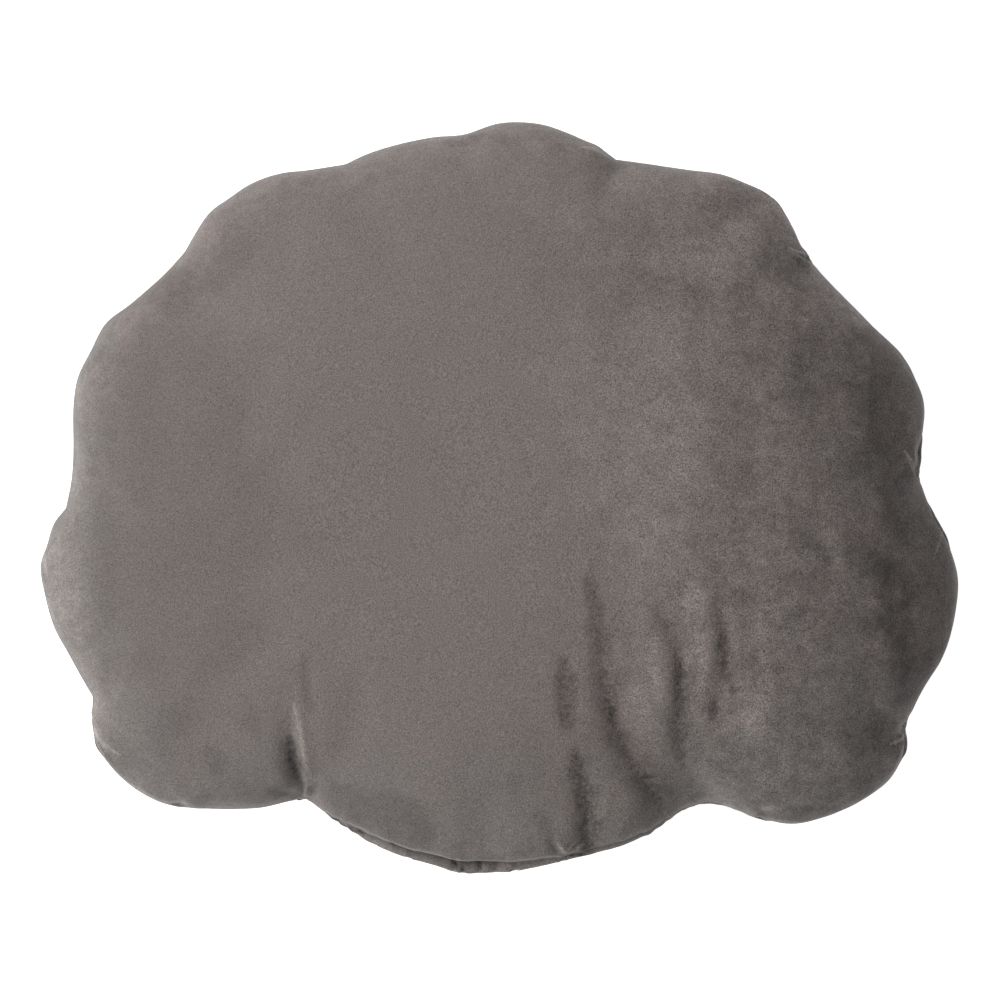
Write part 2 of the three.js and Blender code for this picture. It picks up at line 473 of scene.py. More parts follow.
# Troughs of the back where the camera sees them, mm, or ridges where the depth is less than 0. Each runs
# from its deep end, and a free one fades out at both ends. The width is that on the left of its line and
# on the right.
folds = [
    {"line": [(-104, -160), (-106.5, -151), (-108.5, -142), (-110.5, -133), (-112, -122),
              (-113.5, -112)],
     "depth": 2.3, "width": (4.2, 1.6), "sharp": True},
    {"line": [(-100, -153), (-102, -147), (-103.5, -140), (-104.5, -133), (-106.3, -125),
              (-109.5, -112)],
     "depth": -0.9, "width": (1.6, 3.5), "free": True, "sharp": True},
    {"line": [(-106, -160), (-114, -159), (-122, -158)], "depth": 1, "width": (2.5, 3)},
    {"line": [(-104, -88), (-102, -104), (-99, -116)], "depth": 0.5, "width": (3, 3), "free": True},
    {"line": [(-135, -113), (-129, -127)], "depth": 0.4, "width": (5, 5), "free": True},
    {"line": [(110, -163), (103, -152), (97, -142)], "depth": 1.2, "width": (8, 8)},
    {"line": [(85, -164), (80, -155), (75, -145), (69, -134), (63, -123), (60, -113), (57, -103),
              (54, -76), (48, -50)],
     "depth": 1.9, "width": (5, 3.2)},
    {"line": [(68, -131), (60, -128), (53, -130)], "depth": 0.5, "width": (4, 3)},
    {"line": [(47, -187), (47, -178), (48, -168), (45, -159), (42, -148), (40, -139)], "depth": 2.4,
     "width": (5.5, 4)},
    {"line": [(35, -191), (30, -187), (25, -181)], "depth": 1.2, "width": (1.8, 1.8), "sharp": True},
    {"line": [(36, -190), (40, -186), (45, -182)], "depth": 1.2, "width": (1.8, 1.8), "sharp": True},
    {"line": [(36, -121), (36, -102), (34, -82)], "depth": 0.7, "width": (4, 3.5), "free": True},
    {"line": [(98, -145), (95, -127), (98, -113), (97, -95), (94, -76), (84, -58)], "depth": 1.5,
     "width": (4, 2.6), "free": True},
    {"line": [(124, -108), (119, -89), (122, -76), (119, -52)], "depth": 1.4, "width": (4, 3),
     "free": True},
    {"line": [(115, -117), (115, -107)], "depth": 0.6, "width": (3, 3), "free": True},
    {"line": [(139, -101), (136, -80)], "depth": 0.5, "width": (4, 4), "free": True},
    {"line": [(-217, -117), (-211, -127), (-201, -136), (-195, -140)], "depth": 1.2, "width": (1.5, 3),
     "sharp": True},
    {"line": [(-165, -166), (-171, -163), (-177, -161)], "depth": 1.2, "width": (1.5, 2.5),
     "sharp": True},
    {"line": [(62, 182), (60, 168), (60, 158)], "depth": -0.7, "width": (9, 9)},
    {"line": [(62, 181), (52, 185), (44, 188)], "depth": 0.5, "width": (1.5, 1.5), "sharp": True},
    {"line": [(164, 128), (160, 131), (155, 135)], "depth": 1.8, "width": (1.5, 2.5), "sharp": True},
    {"line": [(163, 124), (156, 122), (148, 126)], "depth": 1.2, "width": (5, 6)},
    {"line": [(223, 13), (219, 18), (216, 26)], "depth": 2, "width": (1.5, 2.5), "sharp": True},
    {"line": [(216, -122), (211, -127), (205, -132)], "depth": 2, "width": (1.5, 2.5), "sharp": True},
    {"line": [(137, -171), (143, -168), (149, -167)], "depth": 1.2, "width": (2, 2), "sharp": True},
]

stroking = {
    "fineBelow": 2.5,  # a stroke narrower than this is a crease, with a finer mesh and an even edge, mm
    "smallBelow": 8,  # the bits that fray an edge are small below this width, mm
    "softFrom": 12,  # a stroke from this width on is smooth, and a narrower one is frayed, mm
    "smallBits": 5 * mm,
    "largeBits": 22 * mm,
    "smallShare": 0.4,  # how much of the small bits goes into the large ones
    "frayed": 0.6,
    "frayedFine": 0.2,
    "thinned": 0.5,  # how much narrower a stroke is at its ends
    "reach": 3,  # how many widths away from its line it is worked out
    "limits": (-0.9, 0.65),
    "steepBand": (0.12, 0.4),  # the upward part of the normal over which the frayed ones fade in
    "seamReach": 7 * mm,  # but this near the seam they stay
    "frontBand": (-16 * mm, -8 * mm),  # above the seam, where all strokes begin
    "ruffledAcross": (-20 * mm, 160 * mm),  # X, from smooth pile to ruffled
    "ruffledOut": (0.86, 0.98),  # and the same towards the rim, as a share of the way out
    "ruffledAtRim": 0.7,
}

# Marks on the pile's colour as the camera sees them, mm: a line, how wide, and how much darker it looks, or
# lighter where that is less than 0. They are partly pile pressed or brushed another way and partly painted
# shade, in troughs, creases, gathers and over the right side, and painted highlights, on ridges, seam edges
# and rims.
strokes = [
    # painted shade and highlights at the left base notch and the dimples beside it
    {"line": [(-107, -151), (-108.5, -145), (-110.5, -137), (-112.5, -128)], "width": 3.2, "dark": 0.38},
    {"line": [(-112, -148), (-116, -132)], "width": 7, "dark": 0.14},
    {"line": [(-110, -110), (-107, -122), (-105, -133), (-103.5, -142), (-101, -150)], "width": 1.5,
     "dark": -0.4},
    {"line": [(-112, -156), (-105, -160)], "width": 1.4, "dark": -0.25},
    {"line": [(-123, -157), (-114, -159)], "width": 3, "dark": 0.28},
    {"line": [(-105, -84), (-103, -104), (-100, -116)], "width": 3.5, "dark": 0.14},
    {"line": [(-135, -110), (-129, -127)], "width": 4, "dark": 0.1},
    {"line": [(-157, -136), (-149, -146)], "width": 6, "dark": 0.15},
    # the folds of the lower right: pressed pile and painted shade along them, painted highlights beside
    # them
    {"line": [(48, -46), (54, -76), (58, -103), (61, -118)], "width": 5.6, "dark": 0.3},
    {"line": [(50, -90), (54, -112)], "width": 9, "dark": 0.1},
    {"line": [(60, -112), (64, -124), (70, -135), (76, -145), (81, -154), (85, -162)], "width": 6,
     "dark": 0.3},
    {"line": [(62, -146), (88, -158)], "width": 11, "dark": 0.14},
    {"line": [(40, -136), (42, -148), (46, -159), (49, -168), (47, -178), (47, -187)], "width": 6.6,
     "dark": 0.44},
    {"line": [(35, -88), (36, -104), (36, -121)], "width": 6.6, "dark": 0.36},
    {"line": [(83, -58), (94, -76), (97, -95)], "width": 3.8, "dark": 0.22},
    {"line": [(95, -84), (98, -104), (98.5, -116), (96, -127), (98, -142)], "width": 5, "dark": 0.38},
    {"line": [(119.5, -73), (120.5, -90), (123, -98), (125, -103)], "width": 4.6, "dark": 0.4},
    {"line": [(114, -34), (119, -74)], "width": 7.5, "dark": 0.16},
    {"line": [(114, -108), (114, -117)], "width": 4.2, "dark": 0.48},
    {"line": [(137, -82), (138, -98)], "width": 4, "dark": 0.16},
    {"line": [(104, -46), (108, -98)], "width": 8, "dark": -0.3},
    {"line": [(74, -60), (80, -112)], "width": 9, "dark": -0.12},
    {"line": [(124, -100), (132, -124)], "width": 17, "dark": -0.27},
    {"line": [(106, -100), (107, -120)], "width": 7, "dark": -0.26},
    {"line": [(84, -76), (87, -98)], "width": 9, "dark": -0.2},
    {"line": [(71, -104), (78, -126)], "width": 8, "dark": -0.2},
    {"line": [(54, -174), (70, -171)], "width": 8, "dark": 0.14},
    {"line": [(7, -148), (8, -160)], "width": 6, "dark": 0.1},
    {"line": [(20, -168), (26, -182)], "width": 5, "dark": 0.16},
    # the right side, in broad strokes and then in small ones: painted shade and painted lighter patches
    {"line": [(204, 88), (214, 40), (224, -16), (230, -66), (220, -106)], "width": 22, "dark": 0.38},
    {"line": [(212, -50), (214, -96)], "width": 13, "dark": 0.16},
    {"line": [(190, -124), (203, -150)], "width": 14, "dark": 0.15},
    {"line": [(148, 92), (152, 60)], "width": 16, "dark": 0.09},
    {"line": [(178, 86), (192, 20), (198, -36)], "width": 26, "dark": 0.2},
    {"line": [(196, -30), (190, -90)], "width": 22, "dark": 0.12},
    {"line": [(150, 70), (150, -20)], "width": 24, "dark": 0.04},
    {"line": [(202, -118), (212, -140)], "width": 9, "dark": 0.25},
    {"line": [(86, 90), (84, 10), (76, -50)], "width": 30, "dark": -0.12},
    {"line": [(82, 78), (84, 10), (78, -30)], "width": 16, "dark": -0.06},
    {"line": [(30, 30), (60, -6)], "width": 30, "dark": -0.04},
    {"line": [(42, 96), (46, 30)], "width": 20, "dark": -0.1},
    {"line": [(213, 62), (217, -4)], "width": 12, "dark": -0.12},
    {"line": [(238, -80), (234, -96)], "width": 11, "dark": 0.2},
    {"line": [(194, 88), (193, 44)], "width": 12, "dark": 0.12},
    {"line": [(166, -26), (171, -48)], "width": 12, "dark": 0.22},
    {"line": [(213, -38), (215, -74)], "width": 12, "dark": 0.15},
    {"line": [(192, -104), (193, -156)], "width": 12, "dark": 0.17},
    {"line": [(188, -86), (197, -108)], "width": 13, "dark": 0.12},
    {"line": [(193, -154), (168, -162)], "width": 13, "dark": 0.13},
    {"line": [(140, -171), (160, -172), (178, -168)], "width": 7, "dark": 0.26},
    {"line": [(128, 92), (126, 10), (130, -66)], "width": 12, "dark": 0.11},
    {"line": [(155, -1), (177, -41), (198, -71)], "width": 8, "dark": 0.16},
    {"line": [(142, -10), (160, -62)], "width": 6, "dark": 0.1},
    {"line": [(100, 6), (108, -34)], "width": 11, "dark": 0.06},
    {"line": [(172, -27), (177, -33)], "width": 4.5, "dark": 0.2},
    {"line": [(156, -23), (160, -28)], "width": 4, "dark": 0.14},
    {"line": [(174, -13), (184, -38)], "width": 5, "dark": -0.14},
    {"line": [(202, -78), (204, -86)], "width": 3, "dark": -0.22},
    # the crest and the right shoulder: painted highlights on its rims and creases, painted shade in its
    # creases
    {"line": [(26, 188), (34, 150)], "width": 24, "dark": -0.12},
    {"line": [(62, 168), (92, 170)], "width": 9, "dark": -0.1},
    {"line": [(58, 176.5), (69, 178)], "width": 3, "dark": 0.2},
    {"line": [(106, 160), (134, 152)], "width": 8, "dark": 0.16},
    {"line": [(152, 136), (161, 114)], "width": 9, "dark": 0.26},
    {"line": [(86, 127), (114, 128), (140, 150)], "width": 13, "dark": -0.22},
    {"line": [(104, 127), (112, 122)], "width": 9, "dark": -0.1},
    {"line": [(150, 128), (152, 146)], "width": 8, "dark": -0.1},
    {"line": [(140, 158), (152, 146)], "width": 7, "dark": -0.15},
    {"line": [(136, 168), (149, 154)], "width": 3, "dark": -0.14},
    {"line": [(-26, 190), (-10, 195)], "width": 5, "dark": 0.26},
    {"line": [(44.5, 186.5), (51.5, 184), (59, 180.5)], "width": 0.9, "dark": -0.4},
    {"line": [(48, 187), (55, 184.5), (60, 181.5)], "width": 0.9, "dark": 0.3},
    {"line": [(156, 134), (164, 128)], "width": 0.7, "dark": -0.8},
    {"line": [(158, 129), (165, 121)], "width": 2.4, "dark": 0.3},
    # the left side: a painted highlight along its rim, and painted shade further in
    {"line": [(-176, 100), (-178, 0), (-172, -105)], "width": 58, "dark": 0.15},
    {"line": [(-176, 108), (-138, 132)], "width": 20, "dark": 0.13},
    {"line": [(-90, -158), (-40, -180)], "width": 15, "dark": 0.24},
    {"line": [(-211, 60), (-212, -20), (-209, -70)], "width": 7, "dark": 0.06},
    {"line": [(-240, -22), (-242, -52), (-236, -80)], "width": 15, "dark": -0.17},
    {"line": [(-226, 6), (-230, -50), (-219, -112)], "width": 10, "dark": -0.17},
    {"line": [(-228, 60), (-230, 8)], "width": 11, "dark": -0.12},
    {"line": [(-216, -112), (-210, -142)], "width": 9, "dark": -0.14},
    {"line": [(-150, 112), (-122, 146)], "width": 18, "dark": 0.07},
    {"line": [(-192, 92), (-194, 40), (-192, 0)], "width": 14, "dark": 0.06},
    {"line": [(-188, -84), (-190, -124)], "width": 14, "dark": 0.04},
    {"line": [(-172, -118), (-170, -152)], "width": 12, "dark": 0.06},
    # the fine creases of the left rim: painted highlights on their edges and painted shade in them
    {"line": [(-242, -26), (-240, -42)], "width": 1.2, "dark": -0.35},
    {"line": [(-244.5, -30), (-243, -42)], "width": 1.8, "dark": 0.3},
    {"line": [(-242, -50), (-237.5, -65)], "width": 1.2, "dark": -0.35},
    {"line": [(-243.5, -54), (-240, -66)], "width": 1.2, "dark": 0.3},
    {"line": [(-240, -15), (-242, -22)], "width": 1.4, "dark": 0.25},
    {"line": [(-217, -117), (-211, -127), (-201, -136)], "width": 0.9, "dark": -0.5},
    {"line": [(-217.5, -120), (-213, -129)], "width": 1.4, "dark": 0.6},
    {"line": [(-214, -128), (-205, -139)], "width": 2.4, "dark": 0.2},
    {"line": [(-198, -152), (-178, -162), (-171, -161), (-166, -162)], "width": 0.9, "dark": -0.45},
    {"line": [(-198, -155), (-180, -164)], "width": 1.5, "dark": 0.25},
    {"line": [(-174, -163), (-167, -165)], "width": 1.4, "dark": 0.6},
    # the fine creases of the right rim: painted highlights on their edges, and painted shade
    {"line": [(215, 25), (217.5, 20), (222.5, 12)], "width": 0.7, "dark": -0.9},
    {"line": [(230.5, -7), (234, -17), (233.5, -25), (232, -33)], "width": 0.8, "dark": -0.5},
    {"line": [(207, -130.5), (214, -125.5), (216, -122)], "width": 0.7, "dark": -0.9},
    {"line": [(120, -163), (131, -168.5)], "width": 0.8, "dark": -0.6},
    {"line": [(134, -170.8), (141, -170.2)], "width": 2.2, "dark": 0.55},
    {"line": [(139, -168), (148, -164.5)], "width": 1.2, "dark": -0.2},
    # the tuck in the base edge: painted highlights on its edges and painted shade in it
    {"line": [(31, -184), (36.5, -190)], "width": 0.9, "dark": -0.5},
    {"line": [(37, -189), (45, -184)], "width": 0.9, "dark": -0.5},
    {"line": [(35, -190), (40, -189.6), (47, -189.8)], "width": 0.9, "dark": 0.65},
    # the gathers of the strip below the base edge: painted shade in them and painted highlights on them
    {"line": [(-95, -165), (-83, -174.5), (-72, -179)], "width": 1.2, "dark": 0.6},
    {"line": [(-58, -183.5), (-55, -186)], "width": 1.2, "dark": 0.5},
    {"line": [(-85, -178), (-53, -188), (-24, -196)], "width": 4, "dark": 0.08},
    {"line": [(-25.4, -192), (-23.3, -194), (-22.7, -198)], "width": 1.2, "dark": 0.5},
    {"line": [(-23.3, -192.6), (-20, -194), (-18, -197)], "width": 0.9, "dark": -0.45},
    {"line": [(-20.6, -196), (-19, -199.6)], "width": 1, "dark": 0.45},
    {"line": [(-11, -194), (-10.4, -198)], "width": 1.1, "dark": 0.4},
    {"line": [(-8.8, -194.7), (-7.8, -198)], "width": 0.9, "dark": -0.35},
    {"line": [(-4.5, -195.8), (-5.6, -199.6)], "width": 1.1, "dark": 0.35},
    {"line": [(4.5, -195.8), (11, -198)], "width": 0.9, "dark": -0.45},
    {"line": [(3.5, -197), (8.8, -199.6)], "width": 1, "dark": 0.3},
    {"line": [(-6, -198), (28, -193)], "width": 4, "dark": -0.1},
]


def isFine(stroke):
    return stroke["width"] < stroking["fineBelow"]


def halveFaces(mesh, wanted):
    # halves the faces that have a wanted point, and rounds the new middle points off
    axes = {"use_axis_x": True, "use_axis_y": True, "use_axis_z": True}
    with sheetOf(mesh) as sheet:
        faces = [face for face in sheet.faces if any(wanted[vert.index] for vert in face.verts)]
        edges = list({edge for face in faces for edge in face.edges})
        made = bmesh.ops.subdivide_edges(sheet, edges=edges, cuts=1, use_grid_fill=True)
        verts = [item for item in made["geom_inner"] if isinstance(item, bmesh.types.BMVert)]
        bmesh.ops.smooth_vert(sheet, verts=verts, factor=0.5, **axes)


def cutSeamRows(mesh):
    # lays edges along the seam, with the base lobe's raised seam let down meanwhile
    points = pointsOf(mesh)
    points[:, 2] -= shell["baseRise"] * onBase(points)
    movePoints(mesh, points)
    reach, slack = sewing["rowReach"], sewing["rowSlack"]
    with sheetOf(mesh) as sheet:
        for row in sewing["rows"]:
            height = shell["seamHeight"] + row * mm
            plane = {"plane_co": (0, 0, height), "plane_no": (0, 0, 1)}
            faces = [face for face in sheet.faces if abs(face.calc_center_median().z - height) < reach]
            around = list({part for face in faces for part in (face, *face.edges, *face.verts)})
            bmesh.ops.bisect_plane(sheet, geom=around, dist=slack, **plane)
    points = pointsOf(mesh)
    points[:, 2] += shell["baseRise"] * onBase(points)
    movePoints(mesh, points)


def stripWidth(points, base):
    # how far the front stands out past the seam
    width = np.interp(points[:, 0] / mm, baseStrip["places"], baseStrip["widths"]) * mm * (base > 0)
    for place in frontShows:
        width += place["out"] * mm * near(points, place["at"], place["reach"])
    return width


def showFront(mesh):
    # holds the back's rim back, as the camera sees it, where the front stands out past the seam
    points = pointsOf(mesh)
    above = aboveSeam(points)
    width = stripWidth(points, onBase(points))
    limit = targetAt(points) - width * (1 - ease(-above, 0, baseStrip["slope"]))
    growth, least, most = baseStrip["softness"]
    soft = np.minimum(growth * width + least, most)
    seen = np.hypot(*seenPlan(points).T)
    over = np.maximum(seen - limit + soft, 0) / soft
    held = np.where(over > 0, limit - soft * np.exp(-over), seen)
    points[:, :2] *= mix(1, held / seen, ease(points[:, 2], *baseStrip["heldBand"]))[:, None]
    movePoints(mesh, points)


def inBand(value, band):
    # 1 at the band's middle, fading out over its width on both sides
    middle, width = band
    return bell(value - middle, width)


def puckers(points, above):
    # how far the puckers beside the seam draw the cloth in
    depth = sewing["puckerDepth"] * np.exp(-np.abs(above) / sewing["puckerReach"])
    beside = np.flatnonzero(depth > sewing["leastPucker"])
    places = points[beside] * (1, 1, sewing["puckerRise"])
    longer, deeper = sewing["longPuckers"]
    ripple = wobble(places, sewing["puckerLength"], 1)
    ripple += deeper * wobble(places, longer * sewing["puckerLength"], 2)
    drawn = np.zeros(len(points))
    drawn[beside] = depth[beside] * ripple
    return drawn


def sewSeam(points, above, base):
    # how far the cloth by the seam is drawn in, its painted light, and the painted shade of its slit and
    # tucks
    gap = np.abs(above)
    shown = np.clip(stripWidth(points, base) / baseStrip["wholeFrom"], 0, 1)
    slitted = base * (1 - ease(points[:, 0], *baseStrip["slitClosing"]))
    tucked = sum(bell(points[:, 0] - place * mm, baseStrip["tuckWidth"]) for place in baseStrip["tucks"])
    tucked = tucked * base * inBand(above, baseStrip["tuckBand"])

    groove = sewing["grooveDepth"] * np.exp(-gap / sewing["grooveWidth"])
    drawn = groove * (1 - sewing["grooveLost"] * shown)
    drawn -= sewing["lipHeight"] * inBand(gap, sewing["lipBand"]) * (1 - shown)
    drawn += baseStrip["slitDepth"] * slitted * inBand(above, baseStrip["slitBand"])
    drawn += puckers(points, above) + baseStrip["tuckDepth"] * tucked

    # a painted highlight along the seam's edge, and painted light on the strip below the base edge
    edge = seamPaintedLight["edge"] + (seamPaintedLight["edgeShown"] + seamPaintedLight["edgeOnBase"] * base) * shown
    light = edge * inBand(above, seamPaintedLight["edgeBand"])
    light += seamPaintedLight["strip"] * base * inBand(above, seamPaintedLight["stripBand"])
    # painted shade in the slit and in the tucks
    dark = np.maximum(seamPaintedLight["slitShown"] * shown, slitted) * inBand(above, seamPaintedLight["slitBand"])
    return drawn, light, dark + seamPaintedLight["tuck"] * tucked


def foldBack(points, above):
    # how far the back's folds sink it
    plan = seenPlan(points)
    sunk = np.zeros(len(points))
    for fold in folds:
        line = roundedLine(fold["line"])
        left, right = fold["width"]
        there = closeTo(plan, line, folding["reach"] * max(left, right) * mm)
        side, share = besideLine(plan[there], line)
        width = np.where(side > 0, left, right) * mm
        bank = bell(np.abs(side) - folding["bankAt"] * width, width)
        fade = 1 - ease(share, folding["fadeFrom"], 1)
        if fold.get("free"):
            fade = np.sqrt(np.sin(math.pi * share))
        sunk[there] += fold["depth"] * mm * (bell(side, width) - folding["bank"] * bank) * fade
    return sunk * ease(above, *folding["seamBand"])


def pileMarksAndPaintedLight(points, above, chosen):
    # how much darker, or lighter, the chosen strokes make each point: pressed pile with painted shade and
    # painted highlights
    plan = seenPlan(points)
    small = wobble(points, stroking["smallBits"], 8)
    large = wobble(points, stroking["largeBits"], 9) + stroking["smallShare"] * small
    darker = np.zeros(len(points))
    for stroke in chosen:
        line = roundedLine(stroke["line"])
        there = closeTo(plan, line, stroking["reach"] * stroke["width"] * mm)
        side, share = besideLine(plan[there], line)
        width = stroke["width"] * mm * (1 - stroking["thinned"] * (2 * share - 1) ** 2)
        bits = (small if stroke["width"] < stroking["smallBelow"] else large)[there]
        frayed = stroking["frayedFine" if isFine(stroke) else "frayed"]
        away = np.abs(side) / width + frayed * bits
        darker[there] += stroke["dark"] * np.where(away > 0, bell(away * away, 1), 1)
    return np.clip(darker, *stroking["limits"]) * ease(above, *stroking["frontBand"])


def ruffledPile(points):
    # 1 where the pile is ruffled, at the right and along the rim, fading to 0 on the smooth back
    plan = seenPlan(points)
    out = np.hypot(*plan.T) / targetAt(points)
    atRim = stroking["ruffledAtRim"] * ease(out, *stroking["ruffledOut"])
    return np.maximum(ease(plan[:, 0], *stroking["ruffledAcross"]), atRim)


def sewCover(mesh):
    points = pointsOf(mesh)
    normals = normalsOf(mesh)
    above = aboveSeam(points)
    base = onBase(points)
    level = normals * (1, 1, 0)
    inward = -level / np.maximum(np.linalg.norm(level, axis=1), sewing["levelLeast"])[:, None]

    drawn, light, dark = sewSeam(points, above, base)
    sunk = foldBack(points, above)
    front = ease(-above, *sewing["channelBand"])
    sunk += sewing["channelDepth"] * np.exp(-channelGap(points) / sewing["channelWidth"]) * front
    for seed, (size, height) in enumerate(sewing["lumps"]):
        sunk -= height * wobble(points, size, seed + 3) * ease(above, *sewing["lumpBand"])

    points += inward * drawn[:, None] - normals * sunk[:, None]
    points[:, 2] = np.maximum(points[:, 2], 0)
    movePoints(mesh, points)

    above = aboveSeam(points)
    soft = [stroke for stroke in strokes if stroke["width"] >= stroking["softFrom"]]
    rough = [stroke for stroke in strokes if stroke["width"] < stroking["softFrom"]]
    shown = np.maximum(ease(normals[:, 2], *stroking["steepBand"]), bell(above, stroking["seamReach"]))
    # painted light and painted shade beside the seam
    storeOnPoints(mesh, "light", light)
    storeOnPoints(mesh, "dark", dark)
    # the strokes' pressed pile, painted shade and painted highlights: the narrow ones on upward faces and
    # by the seam, the wide ones everywhere
    storeOnPoints(mesh, "pileAndPaintedLight", pileMarksAndPaintedLight(points, above, rough) * shown)
    storeOnPoints(mesh, "shaded", pileMarksAndPaintedLight(points, above, soft))
    storeOnPoints(mesh, "ruffled", ruffledPile(points))


def besideLines(mesh, lines, band):
    # the points that the camera sees this near one of the lines, on the back or just below the seam
    points = pointsOf(mesh)
    plan, above = seenPlan(points), aboveSeam(points)
    found = np.zeros(len(points), bool)
    for line in lines:
        line = roundedLine(line)
        there = closeTo(plan, line, band)
        found[there] |= np.abs(besideLine(plan[there], line)[0]) < band
    return found & (above > sewing["lineFloor"])


def refine(cover):
    # a finer mesh: twice as fine everywhere, and finer still at the seam and beside sharp lines
    finer = cover.modifiers.new("finer", "SUBSURF")
    finer.levels = finer.render_levels = 1
    applyModifiers(cover)
    mesh = cover.data
    lines = [fold["line"] for fold in folds if fold.get("sharp")]
    lines += [stroke["line"] for stroke in strokes if isFine(stroke)]
    wide, narrow = sewing["lineBands"]
    atSeam = np.abs(aboveSeam(pointsOf(mesh))) < sewing["fineBand"]
    halveFaces(mesh, atSeam | besideLines(mesh, lines, wide))
    halveFaces(mesh, besideLines(mesh, lines, narrow))
    cutSeamRows(mesh)


refine(cover)
showFront(cover.data)
sewCover(cover.data)
for _ in range(fitting["sewnTurns"]):
    fitOutline(cover.data, **fitting["sewn"])
print("cover sewn:", len(cover.data.polygons), "faces")

for polygon in cover.data.polygons:
    polygon.use_smooth = True
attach(cover, "root")
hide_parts("cushion")


# materials

class Wire:
    # a shader socket that works in sums with numbers and other wires
    def __init__(self, tree, socket=None):
        self.tree = tree
        self.socket = socket

    def node(self, kind, settings=None, values=None, output=0):
        made = self.tree.nodes.new(kind)
        for name, value in (settings or {}).items():
            setattr(made, name, value)
        for name, value in (values or {}).items():
            if isinstance(value, Wire):
                self.tree.links.new(value.socket, made.inputs[name])
            else:
                made.inputs[name].default_value = value
        return Wire(self.tree, made.outputs[output])

    def other(self, output):
        # another output of the same node
        return Wire(self.tree, self.socket.node.outputs[output])

    def sum(self, operation, first, second):
        return self.node("ShaderNodeMath", {"operation": operation}, {0: first, 1: second})

    def __add__(self, other):
        return self.sum("ADD", self, other)

    def __radd__(self, other):
        return self.sum("ADD", other, self)

    def __sub__(self, other):
        return self.sum("SUBTRACT", self, other)

    def __rsub__(self, other):
        return self.sum("SUBTRACT", other, self)

    def __mul__(self, other):
        return self.sum("MULTIPLY", self, other)

    def __rmul__(self, other):
        return self.sum("MULTIPLY", other, self)

    def __lt__(self, other):
        return self.sum("LESS_THAN", self, other)

    def stored(self, name):
        # a value stored on the mesh's points
        return self.node("ShaderNodeAttribute", {"attribute_name": name}, None, "Fac")

    def speckle(self, place, lumps):
        # noise from about -1 to 1
        size, detail, roughness, distortion = lumps
        values = {"Vector": place, "Scale": 1 / size, "Detail": detail, "Roughness": roughness,
                  "Distortion": distortion}
        return (self.node("ShaderNodeTexNoise", None, values, "Fac") - 0.5) * 3

    def between(self, value, low, high):
        # 0 below low, 1 above high and smooth between them
        values = {"Value": value, "From Min": low, "From Max": high}
        return self.node("ShaderNodeMapRange", {"interpolation_type": "SMOOTHSTEP"}, values)


pile = {
    "warm": (0.1798, 0.1537, 0.1446, 1),
    "cool": (0.172, 0.1555, 0.147, 1),
    "coolBelow": (75 * mm, 165 * mm),  # the pile turns cool from here to there below the middle
    "coolAtLeft": (165 * mm, 225 * mm),
    "coolAtRight": (110 * mm, 180 * mm),
    "coolRight": 0.45,  # how cool the right gets, against 1
    "coolShare": 1.3,  # how much that counts against the hues
    "coolBand": (0.3, 1.2),  # from warm to cool
    # each noise has the size of its lumps, its detail, its roughness and its distortion
    "grain": (0.72 * mm, 1, 0.5, 0),  # of the hairs
    "patches": (8 * mm, 4, 0.65, 0.8),  # where the pile leans another way
    "widePatches": (36 * mm, 2, 0.5, 0.4),
    "hues": (28 * mm, 2, 0.5, 0),
    "fray": (2.4 * mm, 2, 0.6, 0),  # the bits in the strokes' edges
    "rightwards": (-40 * mm, 150 * mm),  # X, from the finer grain to the coarser
    "graining": 0.5,
    "grainingAtRight": 0.78,
    "brushing": 0.02,  # how much the patches show on smooth pile
    "brushingRuffled": 0.42,  # and on ruffled pile
    "wideBrushing": 0.5,  # the wide patches show this share of that
    "fraying": 0.9,
    "light": 0.4,  # how much the painted light and the painted shade beside the seam show
    "dark": 0.7,
    "lintCell": 17 * mm,
    "lintSize": 0.35 * mm,
    "lintShare": 0.08,  # the share of the cells that have a speck
    "lint": 0.9,
    "roughness": 0.85,
    "roughnessOfPatches": 0.05,
    "patchHeight": 0.8,  # the hairs have 1
    "bump": 0.35,
    "height": 0.3 * mm,
    "shader": {
        "Sheen Weight": 0.12,
        "Sheen Roughness": 0.4,
        "Sheen Tint": (0.9, 0.93, 0.9, 1),
        "Specular IOR Level": 0.25,
    },
}


def lintSpecks(wire, place):
    # 1 on a few small specks, strewn over the plan
    flat = wire.node("ShaderNodeVectorMath", {"operation": "MULTIPLY"}, {0: place, 1: (1, 1, 0)})
    cells = {"Vector": flat, "Scale": 1 / pile["lintCell"]}
    away = wire.node("ShaderNodeTexVoronoi", None, cells, "Distance")
    pick = wire.node("ShaderNodeSeparateColor", None, {"Color": away.other("Color")}, "Red")
    return (away < pile["lintSize"] / pile["lintCell"]) * (pick < pile["lintShare"])


def velvetHue(wire, place):
    # warm grey on the smooth back, and cooler below and at both sides
    across = wire.node("ShaderNodeSeparateXYZ", None, {"Vector": place}, "X")
    cooled = wire.between(-1 * across.other("Y"), *pile["coolBelow"])
    cooled = cooled + wire.between(-1 * across, *pile["coolAtLeft"])
    cooled = cooled + pile["coolRight"] * wire.between(across, *pile["coolAtRight"])
    hues = wire.speckle(place, pile["hues"])
    share = wire.between(hues + pile["coolShare"] * cooled, *pile["coolBand"])
    colours = {0: share, 6: pile["warm"], 7: pile["cool"]}
    return wire.node("ShaderNodeMix", {"data_type": "RGBA"}, colours, 2)


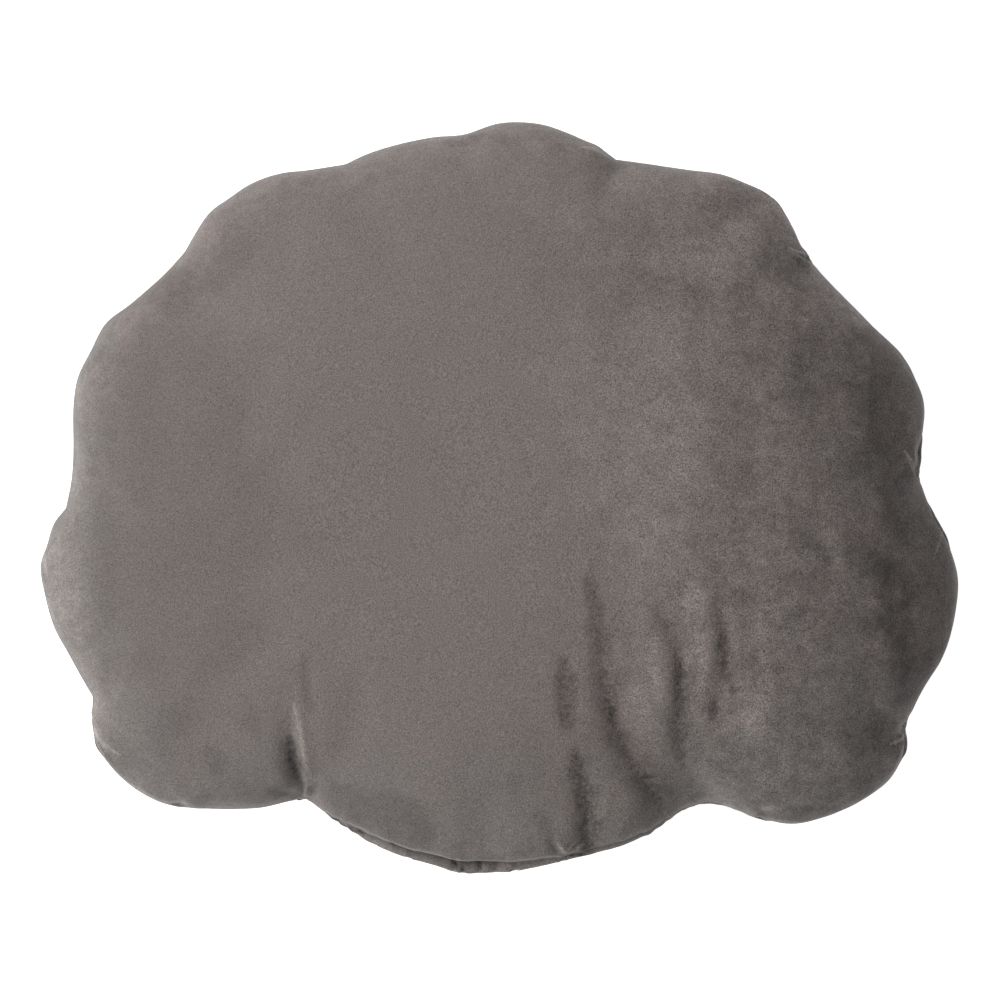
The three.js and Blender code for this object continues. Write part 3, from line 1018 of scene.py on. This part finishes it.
def velvetFinish():
    material = bpy.data.materials.new("velvet")
    material.use_nodes = True
    tree = material.node_tree
    shader = tree.nodes["Principled BSDF"]
    wire = Wire(tree)

    place = wire.node("ShaderNodeTexCoord", output="Object")
    across = wire.node("ShaderNodeSeparateXYZ", None, {"Vector": place}, "X")
    rightwards = wire.between(across, *pile["rightwards"])
    grain = wire.speckle(place, pile["grain"])
    patches = wire.speckle(place, pile["patches"])
    widePatches = wire.speckle(place, pile["widePatches"])
    fray = 1 + pile["fraying"] * wire.speckle(place, pile["fray"])
    graining = mix(pile["graining"], pile["grainingAtRight"], rightwards)
    brushing = mix(pile["brushing"], pile["brushingRuffled"], wire.stored("ruffled"))

    tone = (1 + graining * grain) * (1 + brushing * patches)
    tone = tone * (1 + pile["wideBrushing"] * brushing * widePatches)
    # pressed pile, painted shade and painted highlights from the strokes
    tone = tone * (1 - wire.stored("pileAndPaintedLight") * fray) * (1 - wire.stored("shaded"))
    # painted light and painted shade beside the seam
    tone = tone * (1 + pile["light"] * wire.stored("light")) * (1 - pile["dark"] * wire.stored("dark"))
    tone = tone + pile["lint"] * lintSpecks(wire, place)
    toned = {0: velvetHue(wire, place), "Scale": tone}
    relief = {"Height": grain + pile["patchHeight"] * patches, "Strength": pile["bump"],
              "Distance": pile["height"]}

    wired = {
        "Base Color": wire.node("ShaderNodeVectorMath", {"operation": "SCALE"}, toned),
        "Roughness": pile["roughness"] + pile["roughnessOfPatches"] * patches,
        "Normal": wire.node("ShaderNodeBump", None, relief),
    }
    for name, value in wired.items():
        tree.links.new(value.socket, shader.inputs[name])
    for name, value in pile["shader"].items():
        shader.inputs[name].default_value = value
    return material


cover.data.materials.clear()
cover.data.materials.append(velvetFinish())
print("velvet finished")


# floor, lights and camera

studio = {
    "keyFrom": (-3.15, 0.65, 3.2),
    "keyTo": (0, 0, 0.06),
    "keySize": 3.2,
    "keyPower": 238,
    "air": 0.28,
    "floorSize": 24,
    "paper": 0.8,
    "paperGlow": 0.85,
}

bpy.ops.mesh.primitive_plane_add(size=studio["floorSize"], location=(0, 0, 0))
floor = bpy.context.object
floor.name = "floor"
paper = bpy.data.materials.new("paper")
paper.use_nodes = True
paperShader = paper.node_tree.nodes["Principled BSDF"]
paperShader.inputs["Base Color"].default_value = (*[studio["paper"]] * 3, 1)
paperShader.inputs["Emission Color"].default_value = (1, 1, 1, 1)
paperShader.inputs["Emission Strength"].default_value = studio["paperGlow"]
floor.data.materials.append(paper)

lamp = bpy.data.lights.new("keyLight", "AREA")
lamp.size = studio["keySize"]
lamp.energy = studio["keyPower"]
keyLight = bpy.data.objects.new("keyLight", lamp)
bpy.context.scene.collection.objects.link(keyLight)
keyLight.location = studio["keyFrom"]
aim = Vector(studio["keyTo"]) - Vector(studio["keyFrom"])
keyLight.rotation_euler = aim.to_track_quat("-Z", "Y").to_euler()

world = bpy.data.worlds.new("studioAir")
world.use_nodes = True
background = world.node_tree.nodes["Background"]
background.inputs["Color"].default_value = (1, 1, 1, 1)
background.inputs["Strength"].default_value = studio["air"]
bpy.context.scene.world = world
bpy.context.scene.view_settings.view_transform = "Standard"

camera = bpy.data.objects.new("camera", bpy.data.cameras.new("camera"))
bpy.context.scene.collection.objects.link(camera)
camera.data.lens = view["lens"]
camera.data.sensor_width = view["sensor"]
camera.location = (*view["middle"], shell["seamHeight"] + viewDistance)
bpy.context.scene.camera = camera
print("studio ready")
